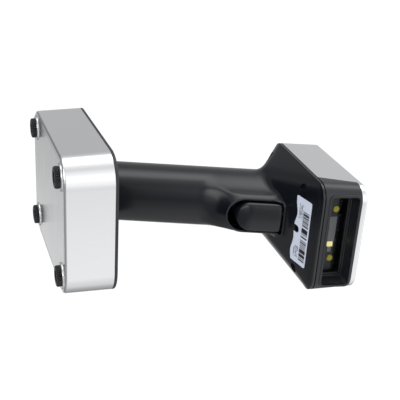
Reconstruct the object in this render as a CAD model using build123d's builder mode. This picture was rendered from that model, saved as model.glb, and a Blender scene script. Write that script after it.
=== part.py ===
from build123d import *
from math import cos, sin, radians
import os

os.makedirs("parts", exist_ok=True)

# A cordless pistol-grip barcode scanner that stands on a weighted metal base.
# Millimetres. The feet stand on Z = 0, the reading window faces -Y, +Z is up.

# ---- base ----
FOOT_HEIGHT = 3.4
FOOT_RADIUS = 6.15
FOOT_RIBS = 24
FOOT_PITCH_X = 60.0
FOOT_PITCH_Y = 86.4
RING_RADIUS = 7.9
RING_THICKNESS = 0.7
BASE_WIDTH = 85.0
BASE_DEPTH = 111.5
BASE_CORNER = 16.7
BASE_DRAFT = 0.82
HOUSING_HEIGHT = 27.6
HOUSING_WALL = 3.6
LOWER_EDGE_ROUNDING = 1.4
PLATE_THICKNESS = 2.4
PLATE_INSET = 2.3
RIM_HEIGHT = 2.0
POST_RADIUS = 4.0
BALLAST_SIZE = (50.0, 92.0, 9.0)
SOCKET_HEIGHT = 20.0

# ---- grip ----
GRIP_LEAN = 20.0
GRIP_Y = 7.25
GRIP_HALF_WIDTH = 18.15
GRIP_HALF_DEPTH = 19.3
GRIP_REACH = 125.0
GRIP_WALL = 2.4
GRIP_FLOOR = 3.0
NOSE_RADIUS = 11.75
NOSE_FORWARD = 20.05
NOSE_START = 88.0
NOSE_LENGTH = 36.0
NOSE_BLEND = 8.0
LOOM_BACK = 12.5
BATTERY_START = 16.0
BATTERY_FORWARD = 3.0
BATTERY_RADIUS = 9.2
BATTERY_LENGTH = 65.0

# ---- trigger ----
SLOT_HALF_WIDTH = 10.0
SLOT_START = 82.0
SLOT_END = 115.0
BUTTON_HALF_WIDTH = 9.0
BUTTON_START = 86.5
BUTTON_END = 113.6
BUTTON_FRONT = 31.8
PIVOT_UP = 110.5
PIVOT_FORWARD = 23.5
PIVOT_RADIUS = 1.25
PIVOT_FIT = 0.05
CROWN_RADIUS = 18.0
BUTTON_BACK = 19.0
BUTTON_INNER = 28.0
PUSHER_UP = 93.5
PUSHER_BACK = 17.3
PIN_HALF_LENGTH = 10.8
BRACKET_BACK = 6.9
SWITCH_BACK = 8.5
SWITCH_FRONT = 14.9
SPRING_UP = 104.0
SPRING_BACK = 13.0
SPRING_RADIUS = 2.4
SPRING_WIRE = 0.5
SPRING_TURNS = 7
PLUNGER_RADIUS = 1.2
PLUNGER_FRONT = 16.9

# ---- head ----
HEAD_LEAN = 5.64
HEAD_Y = -52.86
HEAD_Z = 142.2
HEAD_HALF_WIDTH = 33.2
HEAD_HALF_LENGTH = 40.3
HEAD_CORNER = 9.2
HEAD_TOP = 23.9
BEZEL_TOP = 20.9
COVER_WALL = 2.2
SKIRT_DEPTH = 1.7
HOPPER_DEPTH = 18.0
HOPPER_ROUNDING = 3.5
UNDERSIDE_AT_CENTRE = 11.7
UNDERSIDE_SLOPE = 12.8
SCREW_X = 25.2
SCREW_FRONT = -21.6
SCREW_BACK = 31.0
MIDDLE_SCREW = -21.1
WINDOW_HALF_WIDTH = 27.4
WINDOW_LOW = 2.8
WINDOW_HIGH = 19.6
GLASS_HALF_WIDTH = 24.6
GLASS_LOW = 3.8
GLASS_HIGH = 18.2
GLASS_THICKNESS = 0.8
LED_X = 15.4
LED_Z = 11.6
PILLAR_RADIUS = 4.2
SCREW_SEAT = 3.5
LABEL_THICKNESS = 0.15
BOARD_Z = 6.4
BOARD_THICKNESS = 1.6
GLASS_FRONT = 31.6
BEZEL_BACK = -29.6
BEZEL_WALL = 2.8
BEZEL_END_LOW = -25.1
BEZEL_END_HIGH = -31.5
SIDE_DRAFT = 1.54
FRONT_FLARE = 1.74
BACK_DRAFT = 0.65
ENGINE_FRONT = -27.6
LENS_LENGTH = 2.0

base_top = FOOT_HEIGHT + HOUSING_HEIGHT + RIM_HEIGHT
seam_z = FOOT_HEIGHT + HOUSING_HEIGHT

# The grip's frame: local Z runs up its leaning axis, local -Y points forward.
grip = Plane(
    origin=(0, GRIP_Y, base_top),
    x_dir=(1, 0, 0),
    z_dir=(0, -sin(radians(GRIP_LEAN)), cos(radians(GRIP_LEAN))),
)
# The head's frame: local Z = 0 is the seam between the lower shell and the cover.
head = Plane(
    origin=(0, HEAD_Y, HEAD_Z),
    x_dir=(1, 0, 0),
    z_dir=(0, -sin(radians(HEAD_LEAN)), cos(radians(HEAD_LEAN))),
)
foot_places = GridLocations(FOOT_PITCH_X, FOOT_PITCH_Y, 2, 2)
head_screw_spots = [
    (-SCREW_X, SCREW_FRONT),
    (SCREW_X, SCREW_FRONT),
    (-SCREW_X, SCREW_BACK),
    (SCREW_X, SCREW_BACK),
]


def level(plane, height):
    """A plane parallel to the given one, moved along its normal."""
    return plane.offset(height)


def grip_point(forward, up):
    """Point on the grip's middle plane, forward of its axis and up along it."""
    return grip.from_local_coords((0, -forward, up))


def grip_side_point(forward, up):
    """The same point in the coordinates of a sketch on Plane.YZ."""
    point = grip_point(forward, up)
    return (point.Y, point.Z)


pivot_point = grip_point(PIVOT_FORWARD, PIVOT_UP)


def save(part, name):
    """Label a finished piece and write its own STEP file."""
    part.label = name
    export_step(part, f"parts/{name}.step")


# ================================================================ base
# Cast aluminium sleeve: drafted rounded box, open at the top and rebated below.
with BuildPart() as base_housing:
    with BuildSketch(Plane.XY.offset(FOOT_HEIGHT)):
        RectangleRounded(
            BASE_WIDTH - 2 * BASE_DRAFT, BASE_DEPTH - 2 * BASE_DRAFT, BASE_CORNER - BASE_DRAFT
        )
    with BuildSketch(Plane.XY.offset(seam_z)):
        RectangleRounded(BASE_WIDTH, BASE_DEPTH, BASE_CORNER)
    loft()
    fillet(base_housing.faces().sort_by(Axis.Z)[0].edges(), LOWER_EDGE_ROUNDING)
    with BuildSketch(Plane.XY.offset(seam_z)):
        RectangleRounded(
            BASE_WIDTH - 2 * HOUSING_WALL, BASE_DEPTH - 2 * HOUSING_WALL, BASE_CORNER - HOUSING_WALL
        )
    extrude(amount=-HOUSING_HEIGHT, mode=Mode.SUBTRACT)
    with BuildSketch(Plane.XY.offset(FOOT_HEIGHT)):
        RectangleRounded(
            BASE_WIDTH - 2 * (PLATE_INSET + BASE_DRAFT),
            BASE_DEPTH - 2 * (PLATE_INSET + BASE_DRAFT),
            BASE_CORNER - PLATE_INSET,
        )
    extrude(amount=PLATE_THICKNESS, mode=Mode.SUBTRACT)
    with BuildSketch(Plane.XZ.offset(-BASE_DEPTH / 2 - 1)):
        with Locations((0, SOCKET_HEIGHT)):
            RectangleRounded(9.6, 3.8, 1.8)
    extrude(amount=8, mode=Mode.SUBTRACT)
save(base_housing.part, "base_housing")

# Flat aluminium plate that closes the sleeve from below.
with BuildPart() as bottom_plate:
    with BuildSketch(Plane.XY.offset(FOOT_HEIGHT)):
        RectangleRounded(
            BASE_WIDTH - 2 * (PLATE_INSET + BASE_DRAFT) - 0.4,
            BASE_DEPTH - 2 * (PLATE_INSET + BASE_DRAFT) - 0.4,
            BASE_CORNER - PLATE_INSET - 0.2,
        )
    extrude(amount=PLATE_THICKNESS)
    chamfer(bottom_plate.faces().sort_by(Axis.Z)[0].edges(), 0.3)
    with foot_places:
        Hole(radius=1.7)
save(bottom_plate.part, "bottom_plate")

# Black plastic lid with a locating skirt and four posts that reach the plate.
with BuildPart() as base_cover:
    with BuildSketch(Plane.XY.offset(seam_z)):
        RectangleRounded(BASE_WIDTH, BASE_DEPTH, BASE_CORNER)
    extrude(amount=RIM_HEIGHT)
    fillet(base_cover.faces().sort_by(Axis.Z)[-1].edges(), 0.8)
    with BuildSketch(Plane.XY.offset(seam_z)):
        RectangleRounded(
            BASE_WIDTH - 2 * HOUSING_WALL - 0.6,
            BASE_DEPTH - 2 * HOUSING_WALL - 0.6,
            BASE_CORNER - HOUSING_WALL - 0.3,
        )
        RectangleRounded(
            BASE_WIDTH - 2 * HOUSING_WALL - 4.2,
            BASE_DEPTH - 2 * HOUSING_WALL - 4.2,
            BASE_CORNER - HOUSING_WALL - 2.1,
            mode=Mode.SUBTRACT,
        )
    extrude(amount=-4)
    with BuildSketch(Plane.XY.offset(FOOT_HEIGHT + PLATE_THICKNESS)):
        with foot_places:
            Circle(POST_RADIUS)
    extrude(until=Until.NEXT)
    with BuildSketch(Plane.XY.offset(FOOT_HEIGHT + PLATE_THICKNESS)):
        with foot_places:
            Circle(1.3)
    extrude(amount=16, mode=Mode.SUBTRACT)
    with Locations((0, GRIP_Y, base_top)):
        with PolarLocations(12.0, 4, 45):
            Hole(radius=1.6)
    with Locations((0, GRIP_Y + LOOM_BACK / cos(radians(GRIP_LEAN)), base_top)):
        Hole(radius=3.0)
save(base_cover.part, "base_cover")

# Four knurled rubber feet, each a ribbed disc with a recess for its screw head.
with BuildPart() as foot_pads:
    with foot_places:
        Cylinder(FOOT_RADIUS, FOOT_HEIGHT - RING_THICKNESS, align=(Align.CENTER, Align.CENTER, Align.MIN))
    fillet(foot_pads.edges().filter_by(GeomType.CIRCLE).group_by(Axis.Z)[0], 0.5)
    with foot_places:
        with PolarLocations(FOOT_RADIUS + 0.15, FOOT_RIBS):
            Cylinder(0.4, 2 * FOOT_HEIGHT, mode=Mode.SUBTRACT)
    with foot_places:
        with Locations((0, 0, FOOT_HEIGHT - RING_THICKNESS)):
            Hole(radius=1.7)
        Cylinder(3.2, 1.9, align=(Align.CENTER, Align.CENTER, Align.MIN), mode=Mode.SUBTRACT)
save(foot_pads.part, "foot_pads")

# Bright washers between the feet and the plate.
with BuildPart() as foot_rings:
    with BuildSketch(Plane.XY.offset(FOOT_HEIGHT - RING_THICKNESS)):
        with foot_places:
            Circle(RING_RADIUS)
            Circle(1.7, mode=Mode.SUBTRACT)
    extrude(amount=RING_THICKNESS)
    outer_edges = foot_rings.edges().filter_by(GeomType.CIRCLE).group_by(Axis.Z)[0]
    chamfer(outer_edges.filter_by(lambda edge: edge.radius > 5), 0.35)
save(foot_rings.part, "foot_rings")

# Long screws: through the feet and the plate into the posts of the lid.
with BuildPart() as base_screws:
    with BuildSketch(Plane.XY.offset(0.7)):
        with foot_places:
            Circle(2.7)
    extrude(amount=1.2)
    with BuildSketch(Plane.XY.offset(1.9)):
        with foot_places:
            Circle(1.3)
    extrude(amount=17)
    with BuildSketch(Plane.XY.offset(0.7)):
        with foot_places:
            RegularPolygon(radius=1.3, side_count=6)
    extrude(amount=0.8, mode=Mode.SUBTRACT)
save(base_screws.part, "base_screws")

# Steel block that keeps the scanner standing under its forward head.
with BuildPart() as base_ballast:
    with Locations((0, 0, FOOT_HEIGHT + PLATE_THICKNESS)):
        Box(*BALLAST_SIZE, align=(Align.CENTER, Align.CENTER, Align.MIN))
    chamfer(base_ballast.edges().filter_by(Axis.Z), 2)
save(base_ballast.part, "base_ballast")

# Charging board on two ledges of the ballast, and its socket at the rear wall.
board_z = SOCKET_HEIGHT - 1.6 - 1.7
with BuildPart() as charge_board:
    with Locations((0, 35.5, board_z)):
        Box(34, 30, 1.6, align=(Align.CENTER, Align.CENTER, Align.MIN))
    with Locations((0, 35.5, board_z + 1.6)):
        with GridLocations(28, 24, 2, 2):
            Hole(radius=1.1)
save(charge_board.part, "charge_board")

with BuildPart() as charge_standoffs:
    with BuildSketch(Plane.XY.offset(FOOT_HEIGHT + PLATE_THICKNESS + BALLAST_SIZE[2])):
        with Locations((0, 35.5)):
            with GridLocations(28, 24, 2, 2):
                Circle(2.2)
    extrude(amount=board_z - FOOT_HEIGHT - PLATE_THICKNESS - BALLAST_SIZE[2])
    with BuildSketch(Plane.XY.offset(board_z)):
        with Locations((0, 35.5)):
            with GridLocations(28, 24, 2, 2):
                Circle(1.0)
    extrude(amount=1.6)
save(charge_standoffs.part, "charge_standoffs")

with BuildPart() as charge_socket:
    with BuildSketch(Plane.XZ.offset(-(BASE_DEPTH / 2 - 1.0))):
        with Locations((0, SOCKET_HEIGHT)):
            RectangleRounded(8.9, 3.2, 1.55)
    extrude(amount=8.0)
    with BuildSketch(Plane.XZ.offset(-(BASE_DEPTH / 2 - 1.0))):
        with Locations((0, SOCKET_HEIGHT)):
            RectangleRounded(8.3, 2.6, 1.25)
            Rectangle(6.6, 0.7, mode=Mode.SUBTRACT)
    extrude(amount=6.0, mode=Mode.SUBTRACT)
save(charge_socket.part, "charge_socket")

# Four screws from inside the base that hold the grip on the lid.
with BuildPart() as grip_screws:
    with BuildSketch(Plane.XY.offset(seam_z - 1.4)):
        with Locations((0, GRIP_Y)):
            with PolarLocations(12.0, 4, 45):
                Circle(2.7)
    extrude(amount=1.4)
    with BuildSketch(Plane.XY.offset(seam_z)):
        with Locations((0, GRIP_Y)):
            with PolarLocations(12.0, 4, 45):
                Circle(1.3)
    extrude(amount=9.5)
save(grip_screws.part, "grip_screws")

# ================================================================ grip
# Hopper under the head: 45 degree flanks, closed by a sloping flat underside.
underside_turn = radians(HEAD_LEAN - UNDERSIDE_SLOPE)
underside = Plane(
    origin=head.from_local_coords((0, 0, -UNDERSIDE_AT_CENTRE)),
    x_dir=(1, 0, 0),
    z_dir=(0, -sin(underside_turn), cos(underside_turn)),
)
# A plane that faces forward along the grip: local X is X, local Y runs up the grip.
grip_front = Plane(origin=grip.origin, x_dir=(1, 0, 0), z_dir=-grip.y_dir)


def hopper_solid(inset, drop, rounding=0):
    """Hopper with its walls moved in, its underside raised and its lower edge rounded."""
    width = 2 * (HEAD_HALF_WIDTH - inset)
    length = 2 * (HEAD_HALF_LENGTH - inset)
    with BuildPart() as solid:
        with BuildSketch(head):
            RectangleRounded(width, length, HEAD_CORNER - inset)
        extrude(amount=-SKIRT_DEPTH)
        with BuildSketch(level(head, -SKIRT_DEPTH)):
            RectangleRounded(width, length, HEAD_CORNER - inset)
        with BuildSketch(level(head, -SKIRT_DEPTH - HOPPER_DEPTH)):
            RectangleRounded(width - 2 * HOPPER_DEPTH, length - 2 * HOPPER_DEPTH, 3.0)
        loft(ruled=True)
        split(bisect_by=level(underside, drop), keep=Keep.TOP)
        if rounding:
            flat_bottom = solid.faces().sort_by(SortBy.AREA)[-2:].sort_by(Axis.Z)[0]
            fillet(flat_bottom.edges(), rounding)
    return solid.part


def column_solid(inset, start):
    """Leaning elliptical column of the grip, cut level at its foot and at the seam."""
    with BuildPart() as solid:
        with BuildSketch(level(grip, -12)):
            Ellipse(GRIP_HALF_WIDTH - inset, GRIP_HALF_DEPTH - inset)
        extrude(amount=GRIP_REACH + 12)
        split(bisect_by=Plane.XY.offset(base_top + start), keep=Keep.TOP)
        split(bisect_by=head, keep=Keep.BOTTOM)
    return solid.part


# Column with the round nose that carries the trigger, blended into each other.
with BuildPart() as column_and_nose:
    add(column_solid(0, 0))
    with BuildSketch(level(grip, NOSE_START)):
        with Locations((0, -NOSE_FORWARD)):
            Circle(NOSE_RADIUS)
    extrude(amount=NOSE_LENGTH)
    with Locations(grip.location * Location((0, -NOSE_FORWARD, NOSE_START))):
        Sphere(NOSE_RADIUS)
    blend_edges = column_and_nose.edges().filter_by(
        lambda edge: 60 < grip.to_local_coords(edge.center()).Z < 108
        and -22 < grip.to_local_coords(edge.center()).Y < -13
        and edge.length > 15
    )
    fillet(blend_edges, NOSE_BLEND)
    split(bisect_by=head, keep=Keep.BOTTOM)

# Pillars inside the hopper for the five screws of the head.
with BuildPart() as hopper_pillars:
    with BuildSketch(head):
        with Locations(*head_screw_spots, (0, MIDDLE_SCREW)):
            Circle(PILLAR_RADIUS)
    extrude(amount=-14)
    add(hopper_solid(0, 0, HOPPER_ROUNDING), mode=Mode.INTERSECT)

# One hollow black moulding: column, nose and hopper.
with BuildPart() as grip_shell:
    add(column_and_nose.part)
    add(hopper_solid(0, 0, HOPPER_ROUNDING))
    add(column_solid(GRIP_WALL, GRIP_FLOOR), mode=Mode.SUBTRACT)
    add(hopper_solid(GRIP_WALL, GRIP_WALL), mode=Mode.SUBTRACT)
    add(hopper_pillars.part)
    # bosses for the screws that come up through the lid
    with BuildSketch(Plane.XY.offset(base_top + GRIP_FLOOR)):
        with Locations((0, GRIP_Y)):
            with PolarLocations(12.0, 4, 45):
                Circle(3.0)
    extrude(amount=7)
    with BuildSketch(Plane.XY.offset(base_top)):
        with Locations((0, GRIP_Y)):
            with PolarLocations(12.0, 4, 45):
                Circle(1.3)
    extrude(amount=9, mode=Mode.SUBTRACT)
    with BuildSketch(level(grip, -10)):
        with Locations((0, LOOM_BACK)):
            Circle(3.0)
    extrude(amount=20, mode=Mode.SUBTRACT)
    # slot for the trigger, round at its lower end
    with BuildSketch(level(grip_front, 16)):
        with Locations((0, SLOT_START + SLOT_HALF_WIDTH)):
            Circle(SLOT_HALF_WIDTH)
            Rectangle(
                2 * SLOT_HALF_WIDTH,
                SLOT_END - SLOT_START - SLOT_HALF_WIDTH,
                align=(Align.CENTER, Align.MIN),
            )
    extrude(amount=24, mode=Mode.SUBTRACT)
    # blind holes for the pivot pin
    with BuildSketch(Plane.YZ.offset(-PIN_HALF_LENGTH - 0.15)):
        with Locations((pivot_point.Y, pivot_point.Z)):
            Circle(PIVOT_RADIUS)
    extrude(amount=2 * PIN_HALF_LENGTH + 0.3, mode=Mode.SUBTRACT)
    # screw recesses under the head
    with BuildSketch(level(head, -SCREW_SEAT)):
        with Locations(*head_screw_spots):
            Circle(2.8)
        with Locations((0, MIDDLE_SCREW)):
            Circle(2.8)
    extrude(amount=-12, mode=Mode.SUBTRACT)
    with BuildSketch(head):
        with Locations(*head_screw_spots, (0, MIDDLE_SCREW)):
            Circle(1.6)
    extrude(amount=-SCREW_SEAT, mode=Mode.SUBTRACT)
save(grip_shell.part, "grip_shell")

# Printed white label on the underside, notched round the middle screw.
with BuildPart() as rating_label:
    with BuildSketch(level(underside, -LABEL_THICKNESS)):
        with Locations((0, -25.9)):
            RectangleRounded(40.4, 14.4, 0.8)
        with Locations((0, MIDDLE_SCREW / cos(radians(UNDERSIDE_SLOPE)))):
            Circle(3.3, mode=Mode.SUBTRACT)
            Rectangle(6.6, 10, align=(Align.CENTER, Align.MIN), mode=Mode.SUBTRACT)
    extrude(amount=LABEL_THICKNESS)
save(rating_label.part, "rating_label")

# ================================================================ inside the grip
# Lithium cell, and the two bulkheads that hold it in the column.
with BuildPart() as battery_cell:
    with BuildSketch(level(grip, BATTERY_START)):
        with Locations((0, -BATTERY_FORWARD)):
            Circle(BATTERY_RADIUS)
    extrude(amount=BATTERY_LENGTH)
    fillet(battery_cell.edges(), 0.6)
    with BuildSketch(level(grip, BATTERY_START + BATTERY_LENGTH)):
        with Locations((0, -BATTERY_FORWARD)):
            Circle(3.2)
    extrude(amount=1.2)
save(battery_cell.part, "battery_cell")

with BuildPart() as battery_holder:
    for rise in (8.0, 52.0):
        with BuildSketch(level(grip, BATTERY_START + rise)):
            Ellipse(GRIP_HALF_WIDTH - GRIP_WALL - 0.1, GRIP_HALF_DEPTH - GRIP_WALL - 0.1)
            with Locations((0, -BATTERY_FORWARD)):
                Circle(BATTERY_RADIUS + 0.1, mode=Mode.SUBTRACT)
            with Locations((0, LOOM_BACK)):
                SlotOverall(8, 3.6, mode=Mode.SUBTRACT)
        extrude(amount=4)
save(battery_holder.part, "battery_holder")

# Three wires from the charging board to the main board.
with BuildPart() as wiring_loom:
    with BuildSketch(level(grip, -19.5)):
        with Locations((0, LOOM_BACK)):
            with GridLocations(1.5, 0, 3, 1):
                Circle(0.65)
    extrude(amount=GRIP_REACH + 40)
    split(bisect_by=level(head, BOARD_Z - 0.1), keep=Keep.BOTTOM)
save(wiring_loom.part, "wiring_loom")

# ================================================================ trigger
# Long rounded button: crowned face, hollow back, two pivot lugs and a pusher rib.
button_length = BUTTON_END - BUTTON_START
with BuildPart() as trigger_button:
    with BuildSketch(level(grip_front, BUTTON_BACK)):
        with Locations((0, BUTTON_START + BUTTON_HALF_WIDTH)):
            Circle(BUTTON_HALF_WIDTH)
            Rectangle(
                2 * BUTTON_HALF_WIDTH,
                button_length - BUTTON_HALF_WIDTH,
                align=(Align.CENTER, Align.MIN),
            )
    extrude(amount=BUTTON_FRONT - BUTTON_BACK)
    # crown across the width
    with BuildSketch(level(grip, BUTTON_START - 1)):
        with Locations((0, CROWN_RADIUS - BUTTON_FRONT)):
            Circle(CROWN_RADIUS)
    extrude(amount=button_length + 2, mode=Mode.INTERSECT)
    # rounded lower end of the face
    with BuildSketch(Plane.YZ.offset(-20)) as side_profile:
        with BuildLine():
            Polyline(*[
                grip_side_point(forward, up)
                for forward, up in (
                    (BUTTON_FRONT, BUTTON_START + 9),
                    (BUTTON_FRONT, BUTTON_END + 2),
                    (BUTTON_BACK - 2, BUTTON_END + 2),
                    (BUTTON_BACK - 2, BUTTON_START - 1),
                    (BUTTON_FRONT - 5, BUTTON_START - 1),
                )
            ])
            ThreePointArc(
                grip_side_point(BUTTON_FRONT - 5, BUTTON_START - 1),
                grip_side_point(BUTTON_FRONT - 1.35, BUTTON_START + 3.4),
                grip_side_point(BUTTON_FRONT, BUTTON_START + 9),
            )
        make_face()
    extrude(amount=40, mode=Mode.INTERSECT)
    face_edges = trigger_button.edges().filter_by(
        lambda edge: -grip.to_local_coords(edge.center()).Y > BUTTON_BACK + 2
    )
    fillet(face_edges, 1.0)
    # hollow back
    with BuildSketch(level(grip_front, BUTTON_BACK)):
        with Locations((0, BUTTON_START + BUTTON_HALF_WIDTH)):
            Circle(BUTTON_HALF_WIDTH - 1.8)
            Rectangle(
                2 * (BUTTON_HALF_WIDTH - 1.8),
                button_length - BUTTON_HALF_WIDTH - 1.8,
                align=(Align.CENTER, Align.MIN),
            )
    extrude(amount=BUTTON_INNER - BUTTON_BACK, mode=Mode.SUBTRACT)
    # pusher rib in line with the switch
    with BuildSketch(level(grip_front, PUSHER_BACK)):
        with Locations((0, PUSHER_UP)):
            RectangleRounded(3.0, 3.6, 0.6)
    extrude(amount=BUTTON_INNER + 0.5 - PUSHER_BACK)
    with BuildSketch(Plane.YZ.offset(-15)):
        with Locations((pivot_point.Y, pivot_point.Z)):
            Circle(PIVOT_RADIUS + PIVOT_FIT)
    extrude(amount=30, mode=Mode.SUBTRACT)
save(trigger_button.part, "trigger_button")

# Steel pivot pin, fixed in the walls of the nose.
with BuildPart() as trigger_pin:
    with BuildSketch(Plane.YZ.offset(-PIN_HALF_LENGTH)):
        with Locations((pivot_point.Y, pivot_point.Z)):
            Circle(PIVOT_RADIUS)
    extrude(amount=2 * PIN_HALF_LENGTH)
    chamfer(trigger_pin.edges(), 0.2)
save(trigger_pin.part, "trigger_pin")

# Bracket across the column with the spring cup; it carries the switch.
with BuildPart() as switch_bracket:
    with BuildSketch(level(grip_front, BRACKET_BACK)):
        with Locations((0, 98)):
            Rectangle(26.0, 24.0)
    extrude(amount=SWITCH_BACK - BRACKET_BACK)
    with BuildSketch(level(grip_front, SWITCH_BACK)):
        with Locations((0, SPRING_UP)):
            Circle(3.4)
    extrude(amount=SPRING_BACK - SWITCH_BACK)
save(switch_bracket.part, "switch_bracket")

# Micro-switch body with the bore of its plunger, and the plunger itself.
with BuildPart() as switch_body:
    with BuildSketch(level(grip_front, SWITCH_BACK)):
        with Locations((0, PUSHER_UP)):
            Rectangle(6.0, 10.0)
    extrude(amount=SWITCH_FRONT - SWITCH_BACK)
    with BuildSketch(level(grip_front, SWITCH_FRONT)):
        with Locations((0, PUSHER_UP)):
            Circle(PLUNGER_RADIUS + PIVOT_FIT)
    extrude(amount=-3.6, mode=Mode.SUBTRACT)
save(switch_body.part, "switch_body")

with BuildPart() as switch_plunger:
    with BuildSketch(level(grip_front, SWITCH_FRONT - 2.0)):
        with Locations((0, PUSHER_UP)):
            Circle(PLUNGER_RADIUS)
    extrude(amount=PLUNGER_FRONT - SWITCH_FRONT + 2.0)
    fillet(switch_plunger.faces().sort_by(Axis(grip.origin, grip_front.z_dir))[-1].edges(), 0.4)
save(switch_plunger.part, "switch_plunger")

# Return spring between the cup of the bracket and the inside of the button.
spring_length = BUTTON_INNER - SPRING_BACK - SPRING_WIRE - 0.2
with BuildPart() as trigger_spring:
    with BuildLine() as coil:
        Helix(
            pitch=spring_length / SPRING_TURNS,
            height=spring_length,
            radius=SPRING_RADIUS,
            center=tuple(grip_point(SPRING_BACK + SPRING_WIRE / 2 + 0.1, SPRING_UP)),
            direction=tuple(grip_front.z_dir),
        )
    with BuildSketch(Plane(origin=coil.line @ 0, z_dir=coil.line % 0)):
        Circle(SPRING_WIRE / 2)
    sweep(is_frenet=True)
save(trigger_spring.part, "trigger_spring")

# ================================================================ head

def head_solid(inset, top):
    """Drafted box of the head from the seam upwards; its front leans outwards."""
    share = top / HEAD_TOP
    front = HEAD_HALF_LENGTH + FRONT_FLARE * share
    back = HEAD_HALF_LENGTH - BACK_DRAFT * share
    with BuildPart() as solid:
        with BuildSketch(head):
            RectangleRounded(
                2 * (HEAD_HALF_WIDTH - inset), 2 * (HEAD_HALF_LENGTH - inset), HEAD_CORNER - inset
            )
        with BuildSketch(level(head, top)):
            with Locations((0, (back - front) / 2)):
                RectangleRounded(
                    2 * (HEAD_HALF_WIDTH - SIDE_DRAFT * share - inset),
                    front + back - 2 * inset,
                    HEAD_CORNER - inset,
                )
        loft()
    return solid.part


# Wedge of the head that belongs to the front bezel: its rear limit leans forward.
with BuildPart() as front_zone:
    with BuildSketch(Plane(origin=head.from_local_coords((-60, 0, 0)), x_dir=head.y_dir, z_dir=(1, 0, 0))):
        with BuildLine():
            Polyline(
                (BEZEL_END_LOW, -1), (BEZEL_END_LOW, 0), (BEZEL_END_HIGH, BEZEL_TOP),
                (-60, BEZEL_TOP), (-60, -1), close=True,
            )
        make_face()
    extrude(amount=120)

# Satin aluminium cover: top plate, both sides and the back, with board posts inside.
board_posts = [(x, y) for x in (-19.0, 19.0) for y in (-4.0, 21.0)]
with BuildPart() as head_cover:
    add(head_solid(0, HEAD_TOP))
    fillet(head_cover.faces().sort_by(Axis(head.origin, head.z_dir))[-1].edges(), 1.0)
    add(head_solid(COVER_WALL, BEZEL_TOP), mode=Mode.SUBTRACT)
    with BuildSketch(level(head, BOARD_Z + BOARD_THICKNESS)):
        with Locations(*board_posts):
            Circle(2.6)
    extrude(amount=BEZEL_TOP - BOARD_Z - BOARD_THICKNESS)
    with BuildSketch(head):
        with Locations(*head_screw_spots[2:]):
            Circle(3.4)
    extrude(amount=BEZEL_TOP)
    with BuildSketch(level(head, BOARD_Z + BOARD_THICKNESS)):
        with Locations(*board_posts):
            Circle(1.0)
    extrude(amount=8, mode=Mode.SUBTRACT)
    with BuildSketch(head):
        with Locations(*head_screw_spots[2:]):
            Circle(1.3)
    extrude(amount=10, mode=Mode.SUBTRACT)
    add(front_zone.part, mode=Mode.SUBTRACT)
save(head_cover.part, "head_cover")

# Black bezel: wraps the front corners and frames the deep reading window.
with BuildPart() as front_bezel:
    add(head_solid(0, BEZEL_TOP - 0.05))
    add(front_zone.part, mode=Mode.INTERSECT)
    with BuildSketch(level(head, 2.0)):
        with Locations((0, BEZEL_BACK)):
            RectangleRounded(
                2 * (HEAD_HALF_WIDTH - BEZEL_WALL), 80, 0.8, align=(Align.CENTER, Align.MIN)
            )
    extrude(amount=BEZEL_TOP - 4.0, mode=Mode.SUBTRACT)
    window_face = Plane(
        origin=head.from_local_coords((0, -HEAD_HALF_LENGTH - 1.5, 0)),
        x_dir=(1, 0, 0),
        z_dir=head.y_dir * -1,
    )
    window_middle = (WINDOW_LOW + WINDOW_HIGH) / 2
    glass_middle = (GLASS_LOW + GLASS_HIGH) / 2
    with BuildSketch(window_face):
        with Locations((0, window_middle)):
            RectangleRounded(2 * WINDOW_HALF_WIDTH, WINDOW_HIGH - WINDOW_LOW, 1.6)
    with BuildSketch(level(window_face, -(GLASS_FRONT + HEAD_HALF_LENGTH + 1.5))):
        with Locations((0, glass_middle)):
            RectangleRounded(2 * GLASS_HALF_WIDTH, GLASS_HIGH - GLASS_LOW, 1.0)
    loft(mode=Mode.SUBTRACT)
    with BuildSketch(level(window_face, -(GLASS_FRONT + HEAD_HALF_LENGTH + 1.5))):
        with Locations((0, glass_middle)):
            RectangleRounded(2 * GLASS_HALF_WIDTH + 1.6, GLASS_HIGH - GLASS_LOW + 1.6, 1.2)
    extrude(amount=-6, mode=Mode.SUBTRACT)
    # lugs for the middle screw and the two front screws
    with BuildSketch(head):
        with Locations((0, BEZEL_BACK)):
            Rectangle(9, MIDDLE_SCREW - BEZEL_BACK + 4, align=(Align.CENTER, Align.MIN))
        for side in (-1, 1):
            with Locations((side * SCREW_X, BEZEL_BACK)):
                Rectangle(8, SCREW_FRONT - BEZEL_BACK + 4, align=(Align.CENTER, Align.MIN))
    extrude(amount=3.6)
    with BuildSketch(head):
        with Locations((0, MIDDLE_SCREW), *head_screw_spots[:2]):
            Circle(1.3)
    extrude(amount=6, mode=Mode.SUBTRACT)
save(front_bezel.part, "front_bezel")

# Five screws that hold the head on the hopper.
with BuildPart() as head_screws:
    with BuildSketch(level(head, -SCREW_SEAT - 1.3)):
        with Locations(*head_screw_spots, (0, MIDDLE_SCREW)):
            Circle(2.5)
    extrude(amount=1.3)
    with BuildSketch(level(head, -SCREW_SEAT)):
        with Locations(*head_screw_spots, (0, MIDDLE_SCREW)):
            Circle(1.3)
    extrude(amount=SCREW_SEAT + 3.2)
    with BuildSketch(level(head, -SCREW_SEAT - 1.3)):
        with Locations(*head_screw_spots, (0, MIDDLE_SCREW)):
            Rectangle(3.2, 0.7)
            Rectangle(0.7, 3.2)
    extrude(amount=0.8, mode=Mode.SUBTRACT)
save(head_screws.part, "head_screws")

# A plane that faces forward across the head: local X is X, local Y runs up the head.
head_front = Plane(origin=head.origin, x_dir=(1, 0, 0), z_dir=head.y_dir * -1)


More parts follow.
